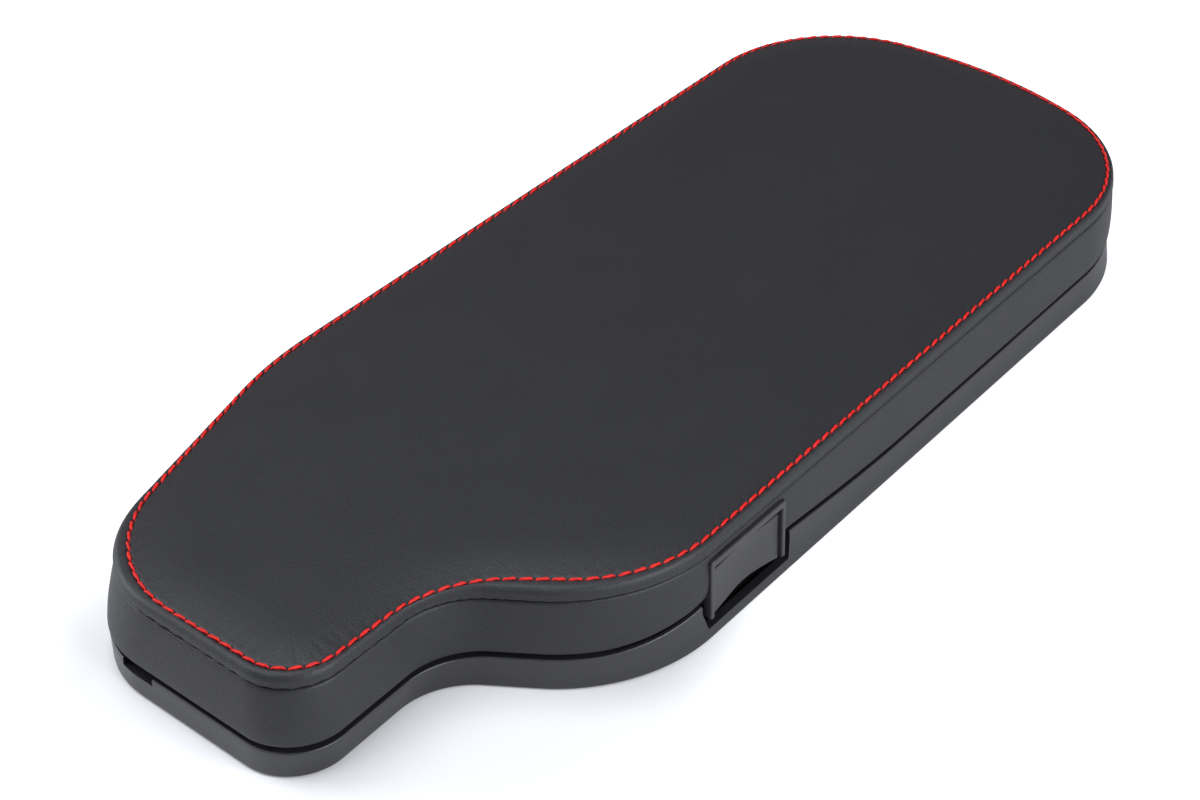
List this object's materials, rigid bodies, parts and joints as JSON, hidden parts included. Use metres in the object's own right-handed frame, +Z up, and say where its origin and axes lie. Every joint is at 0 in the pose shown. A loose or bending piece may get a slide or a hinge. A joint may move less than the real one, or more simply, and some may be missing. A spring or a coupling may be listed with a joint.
{
  "type": "car centre armrest",
  "caption": "Padded, stitched armrest lid with a side cut-out, hinged at the rear to a low open console frame and held shut by a sprung side latch.",
  "frame": {"origin": "middle of the part's plan, on the underside of the console frame", "axes": "+Z up, +Y towards the wide hinged rear end, -Y towards the nose, +X towards the side with the brake cut-out and the latch"},
  "size_m": [0.146, 0.3534, 0.034],
  "materials": {
    "leatherette": "satin, fine grain",
    "thread": "twisted polyester thread",
    "foam": "moulded polyurethane foam",
    "textured_plastic": "fine spark-eroded texture",
    "latch_plastic": "smooth semi-gloss",
    "steel": "zinc plated",
    "rubber": "matt"
  },
  "bodies": {
    "base": {"console_frame": "textured_plastic", "striker_plate": "steel", "striker_screw_1": "steel", "striker_screw_2": "steel", "hinge_frame_leaf": "steel", "hinge_pin": "steel", "frame_hinge_screw_1": "steel", "frame_hinge_screw_2": "steel", "rubber_bumper_1": "rubber", "rubber_bumper_2": "rubber", "rubber_bumper_3": "rubber", "rubber_bumper_4": "rubber"},
    "lid": {"top_cover": "leatherette", "side_band": "leatherette", "top_stitching": "thread", "foam_pad": "foam", "lid_carrier": "textured_plastic", "lid_liner": "textured_plastic", "latch_bezel": "latch_plastic", "latch_pin": "steel", "latch_spring": "steel", "hinge_lid_leaf": "steel", "bezel_screw_1": "steel", "bezel_screw_2": "steel", "lid_hinge_screw_1": "steel", "lid_hinge_screw_2": "steel", "lid_screw_1": "steel", "lid_screw_2": "steel", "lid_screw_3": "steel", "lid_screw_4": "steel", "lid_screw_5": "steel", "lid_screw_6": "steel", "lid_screw_7": "steel", "lid_screw_8": "steel"},
    "paddle": {"latch_paddle": "latch_plastic"}
  },
  "joints": [
    {"name": "lid_hinge", "type": "hinge", "parent": "base", "child": "lid", "pos_m": [-0.012, 0.1743, 0.01035], "axis": [-1, 0, 0], "range_deg": [0, 85]},
    {"name": "paddle_pivot", "type": "hinge", "parent": "lid", "child": "paddle", "pos_m": [0.0674, -0.0545, 0.0212], "axis": [0, -1, 0], "range_deg": [0, 18], "stiffness_Nm_per_rad": 0.05, "springref_deg": -17.19, "deforming": ["latch_spring"]}
  ]
}
